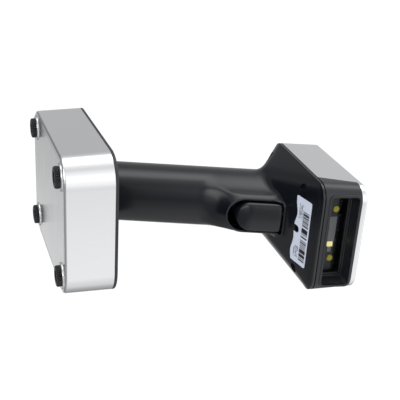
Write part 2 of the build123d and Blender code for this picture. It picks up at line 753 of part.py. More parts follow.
def front_slab(back, thickness, width, low, high, corner):
    """Thin upright slab: its rear face lies `back` in front of the head's origin."""
    with BuildPart() as slab:
        with BuildSketch(level(head_front, back)):
            with Locations((0, (low + high) / 2)):
                RectangleRounded(width, high - low, corner)
        extrude(amount=thickness)
    return slab.part


# Window glass in the rebate of the bezel, and the gasket behind it.
with BuildPart() as window_glass:
    add(front_slab(GLASS_FRONT - GLASS_THICKNESS, GLASS_THICKNESS, 50.4, 3.2, 18.8, 1.1))
save(window_glass.part, "window_glass")

gasket_back = -BEZEL_BACK
with BuildPart() as window_gasket:
    add(front_slab(gasket_back, GLASS_FRONT - GLASS_THICKNESS - gasket_back, 50.4, 3.2, 18.8, 1.1))
    add(front_slab(gasket_back - 1, 4, 46.4, 4.3, 17.7, 0.8), mode=Mode.SUBTRACT)
save(window_gasket.part, "window_gasket")

# Lamp board: dark strip behind the lower half of the glass, two screws at its ends.
with BuildPart() as led_board:
    add(front_slab(gasket_back - 1.2, 1.2, 58.0, 4.6, 13.0, 0.6))
    with BuildSketch(level(head_front, gasket_back)):
        with Locations((-27.2, 8.8), (27.2, 8.8)):
            Circle(0.9)
    extrude(amount=-2, mode=Mode.SUBTRACT)
save(led_board.part, "led_board")

with BuildPart() as led_screws:
    with BuildSketch(level(head_front, gasket_back - 1.2)):
        with Locations((-27.2, 8.8), (27.2, 8.8)):
            Circle(1.6)
    extrude(amount=-0.9)
    with BuildSketch(level(head_front, gasket_back - 1.2)):
        with Locations((-27.2, 8.8), (27.2, 8.8)):
            Circle(0.85)
    extrude(amount=1.2)
save(led_screws.part, "led_screws")

with BuildPart() as aiming_lenses:
    with BuildSketch(level(head_front, gasket_back)):
        with Locations((-LED_X, LED_Z), (LED_X, LED_Z)):
            Circle(1.9)
    extrude(amount=0.8)
    fillet(aiming_lenses.edges().group_by(Axis(head.origin, head_front.z_dir))[-1], 0.5)
save(aiming_lenses.part, "aiming_lenses")

with BuildPart() as light_bar:
    add(front_slab(gasket_back, 0.8, 15.4, 8.6, 12.7, 0.3).moved(Location(Vector(-3.1, 0, 0))))
save(light_bar.part, "light_bar")

with BuildPart() as lamp_led:
    add(front_slab(gasket_back, 0.8, 3.0, 8.9, 12.1, 0.3).moved(Location(Vector(6.3, 0, 0))))
save(lamp_led.part, "lamp_led")

with BuildPart() as sensor_chip:
    add(front_slab(gasket_back, 0.6, 3.0, 9.3, 11.6, 0.2).moved(Location(Vector(9.8, 0, 0))))
save(sensor_chip.part, "sensor_chip")

# Main board under the cover's posts, its screws, chips and buzzer.
with BuildPart() as main_board:
    with BuildSketch(level(head, BOARD_Z)):
        with Locations((0, 8.0)):
            RectangleRounded(46.0, 36.0, 1.5)
        with Locations((0, 30.0)):
            RectangleRounded(16.0, 10.0, 1.5)
        with Locations(*board_posts):
            Circle(1.15, mode=Mode.SUBTRACT)
    extrude(amount=BOARD_THICKNESS)
save(main_board.part, "main_board")

with BuildPart() as board_screws:
    with BuildSketch(level(head, BOARD_Z - 1.2)):
        with Locations(*board_posts):
            Circle(2.0)
    extrude(amount=1.2)
    with BuildSketch(level(head, BOARD_Z)):
        with Locations(*board_posts):
            Circle(0.98)
    extrude(amount=7.0)
save(board_screws.part, "board_screws")

board_top = BOARD_Z + BOARD_THICKNESS
with BuildPart() as board_chips:
    with BuildSketch(level(head, board_top)):
        with Locations((-5, 6)):
            Rectangle(12, 12)
        with Locations((9, 9)):
            Rectangle(8, 8)
        with Locations((8, 20)):
            Rectangle(6, 8)
    extrude(amount=1.2)
save(board_chips.part, "board_chips")

with BuildPart() as buzzer:
    with BuildSketch(level(head, board_top)):
        with Locations((-8, 20)):
            Circle(5.0)
    extrude(amount=4.0)
    with BuildSketch(level(head, board_top + 4.0)):
        with Locations((-8, 20)):
            Circle(0.9)
    extrude(amount=-1.5, mode=Mode.SUBTRACT)
save(buzzer.part, "buzzer")

# Camera module on a bracket that sits on the front of the main board.
with BuildPart() as engine_bracket:
    with BuildSketch(level(head, board_top)):
        with Locations((0, ENGINE_FRONT)):
            Rectangle(24.0, 24.0, align=(Align.CENTER, Align.MIN))
    extrude(amount=1.2)
save(engine_bracket.part, "engine_bracket")

with BuildPart() as scan_engine:
    with BuildSketch(level(head, board_top + 1.2)):
        with Locations((0, ENGINE_FRONT)):
            Rectangle(22.0, 13.0, align=(Align.CENTER, Align.MIN))
    extrude(amount=10.4)
    chamfer(scan_engine.edges().filter_by(Axis((0, 0, 0), tuple(head.z_dir))), 0.6)
save(scan_engine.part, "scan_engine")

with BuildPart() as scan_lens:
    with BuildSketch(level(head_front, -ENGINE_FRONT)):
        with Locations((0, 15.3)):
            Circle(2.1)
    extrude(amount=LENS_LENGTH)
    with BuildSketch(level(head_front, -ENGINE_FRONT + LENS_LENGTH)):
        with Locations((0, 15.3)):
            Circle(1.4)
    extrude(amount=-0.6, mode=Mode.SUBTRACT)
save(scan_lens.part, "scan_lens")
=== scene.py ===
import math

import bmesh
import bpy
from mathutils import Matrix, Vector


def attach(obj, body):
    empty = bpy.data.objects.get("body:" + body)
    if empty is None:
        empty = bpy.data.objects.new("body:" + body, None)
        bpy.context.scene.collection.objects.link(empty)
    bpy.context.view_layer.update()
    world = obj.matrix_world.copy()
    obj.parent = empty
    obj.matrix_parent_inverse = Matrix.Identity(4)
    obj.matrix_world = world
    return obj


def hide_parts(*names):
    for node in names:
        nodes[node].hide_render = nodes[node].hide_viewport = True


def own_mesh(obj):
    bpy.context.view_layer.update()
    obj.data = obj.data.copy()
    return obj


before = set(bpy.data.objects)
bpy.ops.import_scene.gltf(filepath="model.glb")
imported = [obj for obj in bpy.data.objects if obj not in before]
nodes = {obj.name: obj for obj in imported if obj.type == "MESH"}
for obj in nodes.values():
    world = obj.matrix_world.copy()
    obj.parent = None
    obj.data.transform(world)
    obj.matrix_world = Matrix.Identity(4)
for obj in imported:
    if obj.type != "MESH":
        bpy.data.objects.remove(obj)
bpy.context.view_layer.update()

mm = 0.001


# ---- Base sleeve ----
# A drafted sleeve of cast aluminium, about 85 x 112 x 28 mm, brushed upwards and clear
# anodised. It gives soft mirror images of the lights, drawn out into faint upright strokes.


def tint(code):
    """Linear colour of an sRGB hex value."""
    channels = [int(code[start:start + 2], 16) / 255 for start in (1, 3, 5)]
    return (*[c / 12.92 if c <= 0.04045 else ((c + 0.055) / 1.055) ** 2.4 for c in channels], 1.0)


def add_node(material, kind, settings=None, **sockets):
    """Add a node. A socket name has underscores for spaces; its value is a constant or an output."""
    tree = material.node_tree
    node = tree.nodes.new(kind)
    for name, value in (settings or {}).items():
        setattr(node, name, value)
    for name, value in sockets.items():
        if name.startswith("slot"):
            socket = node.inputs[int(name[4:])]
        else:
            socket = node.inputs[name.replace("_", " ")]
        if isinstance(value, bpy.types.NodeSocket):
            tree.links.new(value, socket)
        else:
            socket.default_value = value
    return node


def start_finish(name, colour, roughness, metallic=0.0, ior=1.5):
    """A material with its Principled shader; the pattern nodes are added by the caller."""
    material = bpy.data.materials.new(name)
    material.use_nodes = True
    shader = material.node_tree.nodes["Principled BSDF"]
    shader.inputs["Base Color"].default_value = tint(colour)
    shader.inputs["Roughness"].default_value = roughness
    shader.inputs["Metallic"].default_value = metallic
    if not metallic:
        shader.inputs["IOR"].default_value = ior
    return material, shader


def per_metre(size_mm):
    """Texture scale at which one cell of a pattern measures size_mm."""
    return 1000.0 / size_mm


def add_grain(material, shader, size_mm, depth_mm, strength=1.0, stretch=(1, 1, 1)):
    """Fine surface relief from noise with grains of size_mm, and the noise itself."""
    place = add_node(material, "ShaderNodeTexCoord").outputs["Object"]
    turned = add_node(material, "ShaderNodeMapping", slot0=place, Scale=stretch)
    noise = add_node(material, "ShaderNodeTexNoise", slot0=turned.outputs[0],
                     Scale=per_metre(size_mm), Detail=3.0, Roughness=0.6)
    bump = add_node(material, "ShaderNodeBump", Strength=strength, Distance=depth_mm * mm,
                    Height=noise.outputs[0])
    material.node_tree.links.new(bump.outputs[0], shader.inputs["Normal"])
    return noise.outputs[0]


def vary(material, shader, socket, source, low, high):
    """Let a shader value wander between low and high with a noise output."""
    spread = add_node(material, "ShaderNodeMapRange", slot0=source, slot1=0.3, slot2=0.7,
                      slot3=low, slot4=high)
    material.node_tree.links.new(spread.outputs[0], shader.inputs[socket])


def dress(material, *names):
    """Give CAD nodes a finish."""
    for name in names:
        slots = nodes[name].data.materials
        slots.clear()
        slots.append(material)


# bright silver with soft, streaky reflections; strokes 0.5 mm wide run up the side
anodised, anodised_shader = start_finish("aluminium_cast_anodised_brushed", "#E9EAEC", 0.2, 1.0)
strokes = add_grain(anodised, anodised_shader, 0.5, 0.004, 0.25, (1, 1, 0.03))
vary(anodised, anodised_shader, "Roughness", strokes, 0.17, 0.23)
dress(anodised, "base_housing", "head_cover")

# ---- Bottom plate ----
# A 2.4 mm aluminium plate, let into the sleeve from below and held by the screws of the feet.
# It is brushed across, so it looks a little duller than the sleeve.

brushed, brushed_shader = start_finish("anodised_aluminium_brushed", "#EEEFF1", 0.24, 1.0)
strokes = add_grain(brushed, brushed_shader, 0.5, 0.003, 0.25, (0.02, 1, 1))
vary(brushed, brushed_shader, "Roughness", strokes, 0.2, 0.28)
dress(brushed, "bottom_plate")

# ---- Lid of the base ----
# Injection-moulded black ABS with a rim of 2 mm over the sleeve; four posts below take the
# screws of the feet. Its spark-eroded grain scatters light, so it looks even and dark grey.

lid_abs, lid_shader = start_finish("abs_lid_spark_eroded", "#232427", 0.5)
lid_grain = add_grain(lid_abs, lid_shader, 0.45, 0.01, 0.3)
vary(lid_abs, lid_shader, "Roughness", lid_grain, 0.44, 0.56)
dress(lid_abs, "base_cover")

# ---- Washers and screws of the feet ----
# Pressed steel washers, plated bright, lie between the feet and the plate. Zinc-plated socket
# screws go through feet, washers and plate into the lid.

# nearly white metal with small wear marks
washer_steel, washer_shader = start_finish("steel_polished_washer", "#FBFBFC", 0.3, 1.0)
washer_wear = add_grain(washer_steel, washer_shader, 0.5, 0.002, 0.3)
vary(washer_steel, washer_shader, "Roughness", washer_wear, 0.26, 0.34)
dress(washer_steel, "foot_rings")

# grey, slightly cloudy plating
zinc, zinc_shader = start_finish("steel_zinc_plated", "#B9BCC0", 0.3, 1.0)
zinc_grain = add_grain(zinc, zinc_shader, 0.4, 0.004, 0.4)
vary(zinc, zinc_shader, "Roughness", zinc_grain, 0.25, 0.4)
dress(zinc, "base_screws", "grip_screws")

# ---- Ballast ----
# A cast-iron block that keeps the base standing, dipped in dark grey paint that shows the
# roughness of the casting.

iron, iron_shader = start_finish("cast_iron_painted", "#3B3D40", 0.6)
iron_grain = add_grain(iron, iron_shader, 1.2, 0.05, 0.5)
vary(iron, iron_shader, "Roughness", iron_grain, 0.5, 0.7)
dress(iron, "base_ballast")

# ---- Circuit boards ----
# Fibreglass boards under a glossy green mask: the charging board on steel standoffs in the
# base and the main board under the cover of the head, each held by small zinc-plated screws.

mask, mask_shader = start_finish("fibreglass_board_green", "#1C4D2B", 0.35)
mask_grain = add_grain(mask, mask_shader, 0.8, 0.01, 0.3)
vary(mask, mask_shader, "Roughness", mask_grain, 0.28, 0.42)
dress(mask, "charge_board", "main_board")
dress(zinc, "charge_standoffs", "charge_socket", "board_screws")

# ---- Grip shell ----
# One hollow ABS moulding with walls of 2.4 mm: a leaning oval column, a round nose for the
# trigger and a flared hopper that carries the head, all blended where they meet.

GRIP_LEAN = math.radians(20)
HEAD_LEAN = math.radians(5.64)
COLUMN_HALF_WIDTH, COLUMN_HALF_DEPTH = 18.15, 19.3
NOSE_HALF_WIDTH, NOSE_FRONT, NOSE_ROUND_FROM, NOSE_BLEND = 12.2, 29.5, 80.0, 7.0
BEVEL_FRONT = 23.2
APRON_HALF_WIDTH, APRON_FRONT, APRON_ROUND_FROM = 10.2, 27.2, 92.0
HEAD_HALF_WIDTH, HEAD_HALF_LENGTH, HEAD_CORNER = 33.2, 40.3, 9.2
HOPPER_FLOOR, HOPPER_BLEND, NECK_BLEND = -11.7, 4.6, 5.0
SEAM = -1.7
SHELL_WALL = 2.4
grip_frame = Matrix.Translation((0, 7.25 * mm, 33.0 * mm)) @ Matrix.Rotation(GRIP_LEAN, 4, "X")
head_frame = Matrix.Translation((0, -52.86 * mm, 142.2 * mm)) @ Matrix.Rotation(HEAD_LEAN, 4, "X")
grip_to_head = head_frame.inverted() @ grip_frame
head_to_grip = grip_to_head.inverted()
UPWARD = Vector((0, 0, 1))


def in_head(spot):
    """A point of the grip's frame in the head's frame; both in mm."""
    return grip_to_head @ (spot * mm) / mm


def in_grip(spot):
    """A point of the head's frame in the grip's frame; both in mm."""
    return head_to_grip @ (spot * mm) / mm


def soft_least(a, b, reach):
    """The lesser of two distances, blended where they differ by less than reach."""
    overlap = max(reach - abs(a - b), 0.0) / reach
    return min(a, b) - overlap * overlap * reach / 4


def soft_most(a, b, reach):
    """The greater of two distances, blended where they differ by less than reach."""
    return -soft_least(-a, -b, reach)


def column_distance(spot):
    """Distance in mm outside the oval column and the nose that surrounds the trigger's slot."""
    reach = math.hypot(spot.x, spot.y)
    oval = math.hypot(spot.x / COLUMN_HALF_WIDTH, spot.y / COLUMN_HALF_DEPTH)
    column = reach * (1 - 1 / oval) if oval > 1e-6 else -COLUMN_HALF_WIDTH
    forward = -spot.y
    walls = math.hypot(spot.x, min(spot.z - NOSE_ROUND_FROM, 0.0)) - NOSE_HALF_WIDTH
    # bevels lean 27 degrees off the walls; the apron falls away round the slot at 48 degrees
    bevelled = walls * 0.894 + (forward - BEVEL_FRONT) * 0.447
    apron = math.hypot(spot.x, min(spot.z - APRON_ROUND_FROM, 0.0)) - APRON_HALF_WIDTH
    apron = (apron + 0.9 * (forward - APRON_FRONT)) * 0.743
    nose = soft_most(walls, bevelled, 0.6)
    nose = soft_most(nose, apron, 1.5)
    nose = soft_most(nose, forward - NOSE_FRONT, 1.0)
    nose = max(nose, 5.0 - forward)
    return soft_least(column, nose, NOSE_BLEND)


def hopper_distance(spot):
    """Distance in mm outside the hopper: a rounded box whose flanks close in at 45 degrees."""
    inside = in_head(spot)
    depth = max(SEAM - inside.z, 0.0)
    corner = HEAD_CORNER - 0.3 * min(depth, 18.0)
    x = abs(inside.x) - (HEAD_HALF_WIDTH - depth) + corner
    y = abs(inside.y) - (HEAD_HALF_LENGTH - depth) + corner
    flank = (math.hypot(max(x, 0), max(y, 0)) + min(max(x, y), 0) - corner) * math.sqrt(0.5)
    floor = (HOPPER_FLOOR - 0.2272 * inside.y - inside.z) * math.cos(math.radians(12.8))
    return soft_most(flank, floor, HOPPER_BLEND)


def shell_distance(spot):
    """Distance in mm outside column and hopper together, trimmed flush with the head's back."""
    whole = soft_least(column_distance(spot), hopper_distance(spot), NECK_BLEND)
    if spot.y > 8 and spot.z > 95:
        inside = in_head(spot)
        whole = max(whole, (inside.y - HEAD_HALF_LENGTH + 0.45 * (inside.z - SEAM)) * 0.91)
    return whole


def find_skin(start, direction, level, far=60.0, rule=shell_distance):
    """First place along a ray from outside where the distance falls to level."""
    step = 1.5
    reach = 0.0
    while reach + step < far and rule(start + direction * (reach + step)) > level:
        reach += step
    low, high = reach, min(reach + step, far)
    for _ in range(18):
        middle = (low + high) / 2
        if rule(start + direction * middle) > level:
            low = middle
        else:
            high = middle
    return start + direction * high


def rim_points(inset, height):
    """Outline of the hopper at a height of the head: a rounded rectangle, in grip space."""
    corner = HEAD_CORNER - inset
    middle_x, middle_y = HEAD_HALF_WIDTH - HEAD_CORNER, HEAD_HALF_LENGTH - HEAD_CORNER
    corners = [Vector((side_x * middle_x, side_y * middle_y, height))
               for side_x, side_y in ((1, -1), (1, 1), (-1, 1), (-1, -1))]
    points = []
    for turn, centre in enumerate(corners):
        spokes = [Vector((math.cos(angle), math.sin(angle), 0))
                  for angle in [math.radians(90 * (turn - 1) + 9 * part) for part in range(11)]]
        arc = [centre + corner * spoke for spoke in spokes]
        following = corners[(turn + 1) % 4] + corner * spokes[-1]
        run = 16 if turn % 2 == 0 else 20
        points += arc + [arc[-1].lerp(following, part / run) for part in range(1, run)]
    return [in_grip(point) for point in points]


def swept_points(eye, along, last, count, level):
    """Skin seen from an eye beside the neck, in directions that turn upwards to the angle last."""
    points = []
    for part in range(1, count + 1):
        angle = last * part / count
        direction = -along * math.cos(angle) + UPWARD * math.sin(angle)
        points.append(find_skin(eye, direction, level, far=50))
    return points


def skin_strip(top, level, lean=math.tan(GRIP_LEAN), split=62.0, back_off=9.0):
    """Points up the skin on one side: column, fillet, hopper and the point top on its rim."""
    along = Vector((top.x, top.y, 0)).normalized()
    radius = find_skin(along * 60 + UPWARD * 20, -along, level, rule=column_distance).dot(along)
    neck = find_skin(along * 60 + UPWARD * 112, -along, level, rule=column_distance).dot(along)
    foot = -along.y * radius * lean
    if level < 0:
        foot += 3.0 / math.cos(GRIP_LEAN)
    shoulder = find_skin(along * neck + UPWARD * 60, UPWARD, level, rule=hopper_distance).z - back_off
    heights = [foot + (split - foot) * part / 8 for part in range(8)]
    heights += [split + (shoulder - split) * part / 30 for part in range(31)]
    strip = [find_skin(along * 60 + UPWARD * height, -along, level, rule=column_distance)
             for height in heights]
    begin = neck + back_off
    eye = along * begin + UPWARD * shoulder
    reach_out = Vector((top.x, top.y, 0)).length
    if reach_out < begin + 1.5:
        to_top = top - eye
        last = math.atan2(to_top.z, -to_top.dot(along))
        return strip + swept_points(eye, along, last * 30 / 31, 30, level) + [top]
    strip += swept_points(eye, along, math.pi / 2, 16, level)
    for part in range(1, 15):
        share = 1 - (1 - part / 15) ** 1.7
        under = along * (begin + (reach_out - begin) * share) + UPWARD * 60
        seam_gap = (SEAM - in_head(under).z) / math.cos(GRIP_LEAN - HEAD_LEAN)
        strip.append(find_skin(under, UPWARD, level, far=seam_gap))
    return strip + [top]


def shell_rows(level):
    """Rows of points up the shell's skin at a distance level, from the lid to the seam."""
    strips = [skin_strip(top, level) for top in rim_points(-level * math.sqrt(2), SEAM)]
    return [[strip[row] for strip in strips] for row in range(len(strips[0]))]


def wrap(bm, rows, closed=True):
    """Skin over rows of points: a grid whose first and last columns meet."""
    across = len(rows[0]) if closed else len(rows[0]) - 1
    grid = bmesh.ops.create_grid(bm, x_segments=across, y_segments=len(rows) - 1, size=1.0)["verts"]
    for number, vert in enumerate(grid):
        row, column = divmod(number, across + 1)
        vert.co = rows[row][column % len(rows[0])]
    return grid


def finish_mesh(bm, name, place, material, body, sharp_angle=35, weld=1e-4):
    """Weld, orient and scale a mesh built in mm and hand it to the scanner."""
    bmesh.ops.remove_doubles(bm, verts=bm.verts, dist=weld)
    bmesh.ops.dissolve_degenerate(bm, edges=bm.edges, dist=weld)
    bmesh.ops.recalc_face_normals(bm, faces=bm.faces)
    bmesh.ops.scale(bm, vec=(mm, mm, mm), verts=bm.verts)
    bmesh.ops.transform(bm, matrix=place, verts=bm.verts)
    for face in bm.faces:
        face.smooth = True
    mesh = bpy.data.meshes.new(name)
    bm.to_mesh(mesh)
    bm.free()
    mesh.set_sharp_from_angle(angle=math.radians(sharp_angle))
    piece = bpy.data.objects.new(name, mesh)
    bpy.context.scene.collection.objects.link(piece)
    if material is not None:
        mesh.materials.append(material)
    if body is not None:
        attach(piece, body)
    return piece


shell_bm = bmesh.new()
outside = shell_rows(0.0)
# the rim's edge falls back by 1 mm, which shows as the dark seam under the head
seam_groove = [rim_points(inset, height)
               for inset, height in ((0, -0.9), (0.15, -0.55), (0.5, -0.35), (1.0, -0.3), (1.0, 0.0))]
wrap(shell_bm, (
    [[Vector((0, 0, 0))] * len(outside[0])] + outside + seam_groove + [rim_points(SHELL_WALL, 0.0)]
    + shell_rows(-SHELL_WALL)[::-1] + [[Vector((0, 0, 3.2))] * len(outside[0])]
))
# bluish black with one soft highlight along the handle and a barely visible grain
moulded, moulded_shader = start_finish("abs_grip_fine_matt", "#0D1118", 0.3)
moulded_grain = add_grain(moulded, moulded_shader, 0.4, 0.008, 0.12)
vary(moulded, moulded_shader, "Roughness", moulded_grain, 0.2, 0.26)
grip_piece = finish_mesh(shell_bm, "grip_moulding", grip_frame, moulded, "scanner_body")
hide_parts("grip_shell")


def carve(piece, tool, operation="DIFFERENCE", sharp_angle=35):
    """Cut a piece with another mesh, or join them, and remove the other mesh."""
    cut = piece.modifiers.new("carve", "BOOLEAN")
    cut.object = tool
    cut.operation = operation
    cut.solver = "EXACT"
    bpy.context.view_layer.update()
    mesh = bpy.data.meshes.new_from_object(piece.evaluated_get(bpy.context.evaluated_depsgraph_get()))
    piece.modifiers.clear()
    piece.data = mesh
    mesh.shade_smooth()
    mesh.set_sharp_from_angle(angle=math.radians(sharp_angle))
    bpy.data.objects.remove(tool)


# the pillars of the five head screws, 8.4 mm thick, stand inside the hopper's wall
MIDDLE_SCREW = -21.1
screw_spots = [(-25.2, -21.6), (25.2, -21.6), (-25.2, 31.0), (25.2, 31.0), (0.0, MIDDLE_SCREW)]


def ring(spot, radius, height, count=32):
    """Circle of points round a spot of the head, at one height or at a rule's height."""
    points = []
    for part in range(count):
        angle = 2 * math.pi * part / count
        x, y = spot[0] + radius * math.cos(angle), spot[1] + radius * math.sin(angle)
        points.append(Vector((x, y, height(x, y) if callable(height) else height)))
    return points


def hopper_skin(x, y, level):
    """Where a line up through a spot of the head meets the hopper's skin, in the head's frame."""
    start = in_grip(Vector((x, y, -30)))
    rise = (head_to_grip.to_3x3() @ UPWARD).normalized()
    return in_head(find_skin(start, rise, level, far=29))


def inside_wall(x, y):
    """Height halfway through the hopper's wall."""
    return hopper_skin(x, y, -SHELL_WALL / 2).z


for spot in screw_spots:
    pillar_bm = bmesh.new()
    low_end = Vector((spot[0], spot[1], inside_wall(*spot)))
    wrap(pillar_bm, [[low_end] * 32, ring(spot, 4.2, inside_wall), ring(spot, 4.2, -0.3),
                     [Vector((*spot, -0.3))] * 32])
    carve(grip_piece, finish_mesh(pillar_bm, "pillar", head_frame, None, None), "UNION")

# screw recesses, 5.6 mm wide and 3.8 mm in the middle, down to the seats of the screws
SCREW_SEAT = -4.9
for spot in screw_spots:
    recess_bm = bmesh.new()
    radius = 2.8 if spot[0] else 1.9
    wrap(recess_bm, [[Vector((*spot, -32))] * 32, ring(spot, radius, -32), ring(spot, radius, SCREW_SEAT),
                     [Vector((*spot, SCREW_SEAT))] * 32])
    carve(grip_piece, finish_mesh(recess_bm, "recess", head_frame, None, None))

# slot of the trigger: 20 mm wide, round below, straight across above


def slot_outline(half_width, low, high, corner=1.5):
    """Outline of the slot as pairs (x, height), from the middle of its straight top."""
    side, bottom = high - corner, low + half_width
    points = [(half_width * part / 6, high) for part in range(6)]
    points += [(half_width - corner + corner * math.sin(a * math.pi / 12),
                side + corner * math.cos(a * math.pi / 12)) for a in range(7)]
    points += [(half_width, side + (bottom - side) * part / 14) for part in range(1, 14)]
    points += [(half_width * math.cos(a * math.pi / 32), bottom - half_width * math.sin(a * math.pi / 32))
               for a in range(17)]
    return points + [(-x, z) for x, z in points[1:-1][::-1]]


slot = slot_outline(10.0, 82.0, 115.0)
slot_bm = bmesh.new()
wrap(slot_bm, [
    [Vector((0, -15.5, 98))] * len(slot),
    [Vector((x, -15.5, z)) for x, z in slot],
    [Vector((x, -45.0, z)) for x, z in slot],
    [Vector((0, -45.0, 98))] * len(slot),
])
carve(grip_piece, finish_mesh(slot_bm, "slot_cutter", grip_frame, None, None))

# ---- Lip of the trigger's slot ----
# A rolled bead, 1.6 mm thick, moulded round the slot in the same ABS. Its crest catches a thin
# line of light.

LIP_RADIUS = 0.8
lip_path = [find_skin(Vector((x, -60, z)), Vector((0, 1, 0)), 0.0)
            for x, z in slot_outline(10.35, 81.65, 115.3, 1.8)]
lip_rows = []
for number, point in enumerate(lip_path):
    run = (lip_path[(number + 1) % len(lip_path)] - lip_path[number - 1]).normalized()
    outward = run.cross(Vector((0, -1, 0))).normalized()
    forward = outward.cross(run).normalized()
    turns = [turn * math.pi / 6 for turn in range(12)]
    heart = point + 0.2 * forward
    lip_rows.append([heart + LIP_RADIUS * (outward * math.cos(turn) + forward * math.sin(turn))
                     for turn in turns])
lip_bm = bmesh.new()
wrap(lip_bm, lip_rows + [lip_rows[0]])
lip_piece = finish_mesh(lip_bm, "trigger_slot_lip", grip_frame, moulded, "scanner_body", 60)

# ---- Trigger ----
# A long ABS button with a crowned face and a rounded edge, hollow behind, moulded like the
# shell. It tips about a steel pin near its upper end.


def button_rows(half_width, low, high, back, inside_depth, wall=1.8, rounding=1.7):
    """Rows over a hollow button: up its wall, round its edge and over the face to the middle."""
    outline = slot_outline(half_width, low, high, 1.2)
    spine_low, spine_high = low + half_width, high - half_width

    def face_height(x, z):
        crown = 18.0 - math.sqrt(18.0 ** 2 - x * x)
        drop = max(low + 10.0 - z, 0.0) ** 2 * 0.045
        return 31.8 - crown - drop

    def shrunk(distance, height):
        points = []
        for x, z in outline:
            heart = Vector((0, min(max(z, spine_low), spine_high)))
            flat = Vector((x, z)).lerp(heart, distance / half_width)
            points.append(Vector((flat.x, -height(flat.x, flat.y), flat.y)))
        return points

    def rounded(distance):
        sink = rounding - math.sqrt(max(rounding ** 2 - (rounding - min(distance, rounding)) ** 2, 0))
        return shrunk(distance, lambda x, z: face_height(x, z) - sink)

    rows = [shrunk(half_width, lambda x, z: inside_depth), shrunk(wall, lambda x, z: inside_depth)]
    rows += [shrunk(wall, lambda x, z: back), shrunk(0, lambda x, z: back)]
    rows += [shrunk(0, lambda x, z: back + (face_height(x, z) - rounding - back) * part / 3)
             for part in (1, 2)]
    rows += [rounded(rounding * (1 - math.cos(turn * math.pi / 16))) for turn in range(9)]
    return rows + [shrunk(distance, face_height) for distance in (2.4, 3.4, 4.6, 6.0, 7.5, half_width)]


button_bm = bmesh.new()
wrap(button_bm, button_rows(9.0, 86.5, 114.5, 19.0, 27.6))
button = finish_mesh(button_bm, "trigger_cap", grip_frame, moulded, "trigger", 40, 1e-3)
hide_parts("trigger_button")
dress(zinc, "trigger_pin")

# ---- Feet ----
# Four moulded discs of black nitrile rubber, 12.3 mm wide and 2.7 mm thick, with 30 rounded
# ribs for the fingers and a recess that hides the head of the screw.

# black, dull, with a faint sheen on the crests of the ribs
rubber, rubber_shader = start_finish("nitrile_rubber_moulded", "#17181B", 0.45)
rubber_grain = add_grain(rubber, rubber_shader, 0.6, 0.02, 0.4)
vary(rubber, rubber_shader, "Roughness", rubber_grain, 0.38, 0.5)

RIBS = 30
RIB_DEPTH = 0.6
# radius, height and share of the ribs' depth, from the screw's hole round to it again
FOOT_PROFILE = [(1.7, 2.7, 0), (1.7, 1.9, 0), (3.2, 1.9, 0), (3.2, 0.25, 0), (3.45, 0.0, 0),
                (5.3, 0.0, 0), (5.75, 0.12, 0.5), (6.0, 0.45, 1), (6.15, 0.8, 1), (6.15, 2.3, 1),
                (6.0, 2.7, 1), (1.7, 2.7, 0)]
foot_turns = [2 * math.pi * part / (8 * RIBS) for part in range(8 * RIBS)]
foot_bm = bmesh.new()
for foot_x in (-30.0, 30.0):
    for foot_y in (-43.2, 43.2):
        foot_rows = []
        for radius, height, ribbed in FOOT_PROFILE:
            foot_row = []
            for turn in foot_turns:
                reach = radius - RIB_DEPTH / 2 * ribbed * (1 - math.cos(RIBS * turn))
                x, y = foot_x + reach * math.cos(turn), foot_y + reach * math.sin(turn)
                foot_row.append(Vector((x, y, height)))
            foot_rows.append(foot_row)
        wrap(foot_bm, foot_rows)
feet = finish_mesh(foot_bm, "feet_ribbed", Matrix.Identity(4), rubber, "scanner_body", 40)
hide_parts("foot_pads")

# ---- Return spring ----
# Seven turns of 0.5 mm zinc-plated wire between the bracket's cup and the button. A full pull
# presses it 0.6 mm shorter.

SPRING_TURNS, SPRING_STEPS = 7, 168
SPRING_BACK, SPRING_LENGTH, SPRING_HEIGHT = 13.35, 14.3, 104.0
coil_rows = []
for step in range(SPRING_STEPS + 1):
    angle = 2 * math.pi * SPRING_TURNS * step / SPRING_STEPS
    out = Vector((math.cos(angle), 0, math.sin(angle)))
    middle = Vector((0, -SPRING_BACK - SPRING_LENGTH * step / SPRING_STEPS, SPRING_HEIGHT)) + 2.4 * out
    thick = 0.0 if step in (0, SPRING_STEPS) else 0.25
    turns = [part * math.pi / 4 for part in range(8)]
    coil_rows.append([middle + thick * (out * math.cos(turn) + Vector((0, 1, 0)) * math.sin(turn))
                      for turn in turns])
spring_bm = bmesh.new()
wrap(spring_bm, coil_rows)
spring = finish_mesh(spring_bm, "return_spring", grip_frame, zinc, "scanner_body", 60, 1e-5)
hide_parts("trigger_spring")
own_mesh(spring)

# ---- Black mouldings inside ----
# ABS parts from the same granulate as the shell: the bracket and body of the micro-switch, the
# bulkheads of the cell, the cases of the chips, the buzzer and the camera module.

dress(moulded, "switch_bracket", "switch_body", "battery_holder", "board_chips", "buzzer",
      "scan_engine")

# ---- Rating label ----
# White polyester film of 0.15 mm, cut to clear the middle screw and to follow the neck's
# fillet. It is printed with plain bars and short dashes only.


NOTCH_RADIUS = 2.2
LABEL_HALF_WIDTH, LABEL_FRONT, LABEL_REAR = 20.2, -32.3, -18.3


def label_rear(x):
    """Rear edge of the label: wavy along the fillet, with a U round the middle screw."""
    if abs(x) < NOTCH_RADIUS:
        return MIDDLE_SCREW - math.sqrt(NOTCH_RADIUS ** 2 - x * x)
    wave = 2.0 * math.exp(-((x + 9.4) / 5) ** 2) + 0.8 * math.exp(-((x - 6) / 4) ** 2)
    return LABEL_REAR - wave + 0.9 * math.exp(-((x - 14.7) / 3.5) ** 2)


